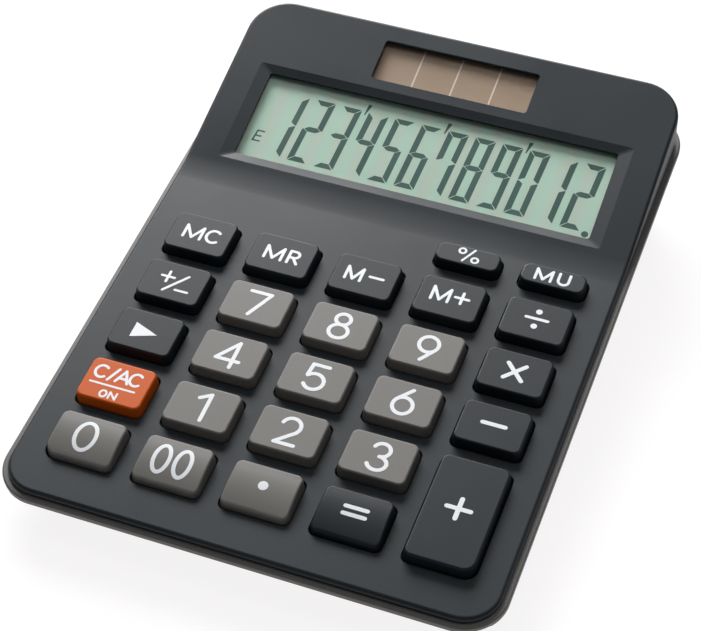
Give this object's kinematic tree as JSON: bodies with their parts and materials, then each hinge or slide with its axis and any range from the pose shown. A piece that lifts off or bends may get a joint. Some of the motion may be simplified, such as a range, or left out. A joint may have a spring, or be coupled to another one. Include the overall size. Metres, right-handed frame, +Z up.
{
  "type": "desk calculator",
  "caption": "Compact wedge-shaped solar calculator with sprung keys, a raised sloping display with a solar cell above it, and rubber feet underneath.",
  "frame": {"origin": "on the table, under the middle of the case's outline", "axes": "+Z up, +Y from the user to the raised back edge, +X to the user's right"},
  "size_m": [0.1064, 0.1467, 0.029],
  "materials": {
    "upper_case_plastic": "fine matt texture",
    "lower_case_plastic": "fine matt texture",
    "dark_key_plastic": "satin",
    "grey_key_plastic": "satin",
    "orange_key_plastic": "satin",
    "clear_plastic": "clear, polished",
    "display_glass": "green-grey liquid crystal panel",
    "solar_glass": "brown amorphous silicon on glass",
    "silicone_rubber": "matt",
    "board_laminate": "paper-phenolic laminate",
    "black_resin": "cured epoxy drop",
    "capacitor_sleeve": "shrunk plastic sleeve",
    "connector_film": "polyester film",
    "screw_steel": "zinc plated",
    "cell_nickel": "nickel plated steel",
    "foot_rubber": "matt",
    "black_lead": "insulated wire",
    "red_lead": "insulated wire"
  },
  "bodies": {
    "case": {"battery_contact_negative": "cell_nickel", "battery_contact_positive": "cell_nickel", "board_screw_back_left": "screw_steel", "board_screw_back_right": "screw_steel", "board_screw_front_left": "screw_steel", "board_screw_front_right": "screw_steel", "button_cell": "cell_nickel", "capacitor": "capacitor_sleeve", "case_screw_back_left": "screw_steel", "case_screw_back_right": "screw_steel", "case_screw_front_left": "screw_steel", "case_screw_front_right": "screw_steel", "case_screw_middle_left": "screw_steel", "case_screw_middle_right": "screw_steel", "chip_cover": "black_resin", "circuit_board": "board_laminate", "display_film_connector": "connector_film", "display_window": "clear_plastic", "dome_sheet": "silicone_rubber", "foot_back_left": "foot_rubber", "foot_back_right": "foot_rubber", "foot_front_left": "foot_rubber", "foot_front_right": "foot_rubber", "lcd_panel": "display_glass", "lower_case": "lower_case_plastic", "solar_cell": "solar_glass", "solar_lead_negative": "black_lead", "solar_lead_positive": "red_lead", "solar_window": "clear_plastic", "upper_case": "upper_case_plastic"},
    "key_percent": {"key_percent": "dark_key_plastic"},
    "key_mark_up": {"key_mark_up": "dark_key_plastic"},
    "key_memory_clear": {"key_memory_clear": "dark_key_plastic"},
    "key_memory_recall": {"key_memory_recall": "dark_key_plastic"},
    "key_memory_minus": {"key_memory_minus": "dark_key_plastic"},
    "key_memory_plus": {"key_memory_plus": "dark_key_plastic"},
    "key_divide": {"key_divide": "dark_key_plastic"},
    "key_sign": {"key_sign": "dark_key_plastic"},
    "key_7": {"key_7": "grey_key_plastic"},
    "key_8": {"key_8": "grey_key_plastic"},
    "key_9": {"key_9": "grey_key_plastic"},
    "key_multiply": {"key_multiply": "dark_key_plastic"},
    "key_backspace": {"key_backspace": "dark_key_plastic"},
    "key_4": {"key_4": "grey_key_plastic"},
    "key_5": {"key_5": "grey_key_plastic"},
    "key_6": {"key_6": "grey_key_plastic"},
    "key_minus": {"key_minus": "dark_key_plastic"},
    "key_clear": {"key_clear": "orange_key_plastic"},
    "key_1": {"key_1": "grey_key_plastic"},
    "key_2": {"key_2": "grey_key_plastic"},
    "key_3": {"key_3": "grey_key_plastic"},
    "key_plus": {"key_plus": "dark_key_plastic"},
    "key_0": {"key_0": "grey_key_plastic"},
    "key_00": {"key_00": "grey_key_plastic"},
    "key_point": {"key_point": "grey_key_plastic"},
    "key_equals": {"key_equals": "dark_key_plastic"}
  },
  "joints": [
    {"name": "percent_press", "type": "slide", "parent": "case", "child": "key_percent", "axis": [0, 0.0698, -0.9976], "range_m": [0, 0.0013], "stiffness_N_per_m": 600, "springref_m": -0.0005, "deforming": ["dome_sheet"]},
    {"name": "mark_up_press", "type": "slide", "parent": "case", "child": "key_mark_up", "axis": [0, 0.0698, -0.9976], "range_m": [0, 0.0013], "stiffness_N_per_m": 600, "springref_m": -0.0005, "deforming": ["dome_sheet"]},
    {"name": "memory_clear_press", "type": "slide", "parent": "case", "child": "key_memory_clear", "axis": [0, 0.0698, -0.9976], "range_m": [0, 0.0013], "stiffness_N_per_m": 600, "springref_m": -0.0005, "deforming": ["dome_sheet"]},
    {"name": "memory_recall_press", "type": "slide", "parent": "case", "child": "key_memory_recall", "axis": [0, 0.0698, -0.9976], "range_m": [0, 0.0013], "stiffness_N_per_m": 600, "springref_m": -0.0005, "deforming": ["dome_sheet"]},
    {"name": "memory_minus_press", "type": "slide", "parent": "case", "child": "key_memory_minus", "axis": [0, 0.0698, -0.9976], "range_m": [0, 0.0013], "stiffness_N_per_m": 600, "springref_m": -0.0005, "deforming": ["dome_sheet"]},
    {"name": "memory_plus_press", "type": "slide", "parent": "case", "child": "key_memory_plus", "axis": [0, 0.0698, -0.9976], "range_m": [0, 0.0013], "stiffness_N_per_m": 600, "springref_m": -0.0005, "deforming": ["dome_sheet"]},
    {"name": "divide_press", "type": "slide", "parent": "case", "child": "key_divide", "axis": [0, 0.0698, -0.9976], "range_m": [0, 0.0013], "stiffness_N_per_m": 600, "springref_m": -0.0005, "deforming": ["dome_sheet"]},
    {"name": "sign_press", "type": "slide", "parent": "case", "child": "key_sign", "axis": [0, 0.0698, -0.9976], "range_m": [0, 0.0013], "stiffness_N_per_m": 600, "springref_m": -0.0005, "deforming": ["dome_sheet"]},
    {"name": "digit_7_press", "type": "slide", "parent": "case", "child": "key_7", "axis": [0, 0.0698, -0.9976], "range_m": [0, 0.0013], "stiffness_N_per_m": 600, "springref_m": -0.0005, "deforming": ["dome_sheet"]},
    {"name": "digit_8_press", "type": "slide", "parent": "case", "child": "key_8", "axis": [0, 0.0698, -0.9976], "range_m": [0, 0.0013], "stiffness_N_per_m": 600, "springref_m": -0.0005, "deforming": ["dome_sheet"]},
    {"name": "digit_9_press", "type": "slide", "parent": "case", "child": "key_9", "axis": [0, 0.0698, -0.9976], "range_m": [0, 0.0013], "stiffness_N_per_m": 600, "springref_m": -0.0005, "deforming": ["dome_sheet"]},
    {"name": "multiply_press", "type": "slide", "parent": "case", "child": "key_multiply", "axis": [0, 0.0698, -0.9976], "range_m": [0, 0.0013], "stiffness_N_per_m": 600, "springref_m": -0.0005, "deforming": ["dome_sheet"]},
    {"name": "backspace_press", "type": "slide", "parent": "case", "child": "key_backspace", "axis": [0, 0.0698, -0.9976], "range_m": [0, 0.0013], "stiffness_N_per_m": 600, "springref_m": -0.0005, "deforming": ["dome_sheet"]},
    {"name": "digit_4_press", "type": "slide", "parent": "case", "child": "key_4", "axis": [0, 0.0698, -0.9976], "range_m": [0, 0.0013], "stiffness_N_per_m": 600, "springref_m": -0.0005, "deforming": ["dome_sheet"]},
    {"name": "digit_5_press", "type": "slide", "parent": "case", "child": "key_5", "axis": [0, 0.0698, -0.9976], "range_m": [0, 0.0013], "stiffness_N_per_m": 600, "springref_m": -0.0005, "deforming": ["dome_sheet"]},
    {"name": "digit_6_press", "type": "slide", "parent": "case", "child": "key_6", "axis": [0, 0.0698, -0.9976], "range_m": [0, 0.0013], "stiffness_N_per_m": 600, "springref_m": -0.0005, "deforming": ["dome_sheet"]},
    {"name": "minus_press", "type": "slide", "parent": "case", "child": "key_minus", "axis": [0, 0.0698, -0.9976], "range_m": [0, 0.0013], "stiffness_N_per_m": 600, "springref_m": -0.0005, "deforming": ["dome_sheet"]},
    {"name": "clear_press", "type": "slide", "parent": "case", "child": "key_clear", "axis": [0, 0.0698, -0.9976], "range_m": [0, 0.0013], "stiffness_N_per_m": 600, "springref_m": -0.0005, "deforming": ["dome_sheet"]},
    {"name": "digit_1_press", "type": "slide", "parent": "case", "child": "key_1", "axis": [0, 0.0698, -0.9976], "range_m": [0, 0.0013], "stiffness_N_per_m": 600, "springref_m": -0.0005, "deforming": ["dome_sheet"]},
    {"name": "digit_2_press", "type": "slide", "parent": "case", "child": "key_2", "axis": [0, 0.0698, -0.9976], "range_m": [0, 0.0013], "stiffness_N_per_m": 600, "springref_m": -0.0005, "deforming": ["dome_sheet"]},
    {"name": "digit_3_press", "type": "slide", "parent": "case", "child": "key_3", "axis": [0, 0.0698, -0.9976], "range_m": [0, 0.0013], "stiffness_N_per_m": 600, "springref_m": -0.0005, "deforming": ["dome_sheet"]},
    {"name": "plus_press", "type": "slide", "parent": "case", "child": "key_plus", "axis": [0, 0.0698, -0.9976], "range_m": [0, 0.0013], "stiffness_N_per_m": 600, "springref_m": -0.0005, "deforming": ["dome_sheet"]},
    {"name": "digit_0_press", "type": "slide", "parent": "case", "child": "key_0", "axis": [0, 0.0698, -0.9976], "range_m": [0, 0.0013], "stiffness_N_per_m": 600, "springref_m": -0.0005, "deforming": ["dome_sheet"]},
    {"name": "digit_00_press", "type": "slide", "parent": "case", "child": "key_00", "axis": [0, 0.0698, -0.9976], "range_m": [0, 0.0013], "stiffness_N_per_m": 600, "springref_m": -0.0005, "deforming": ["dome_sheet"]},
    {"name": "point_press", "type": "slide", "parent": "case", "child": "key_point", "axis": [0, 0.0698, -0.9976], "range_m": [0, 0.0013], "stiffness_N_per_m": 600, "springref_m": -0.0005, "deforming": ["dome_sheet"]},
    {"name": "equals_press", "type": "slide", "parent": "case", "child": "key_equals", "axis": [0, 0.0698, -0.9976], "range_m": [0, 0.0013], "stiffness_N_per_m": 600, "springref_m": -0.0005, "deforming": ["dome_sheet"]}
  ]
}
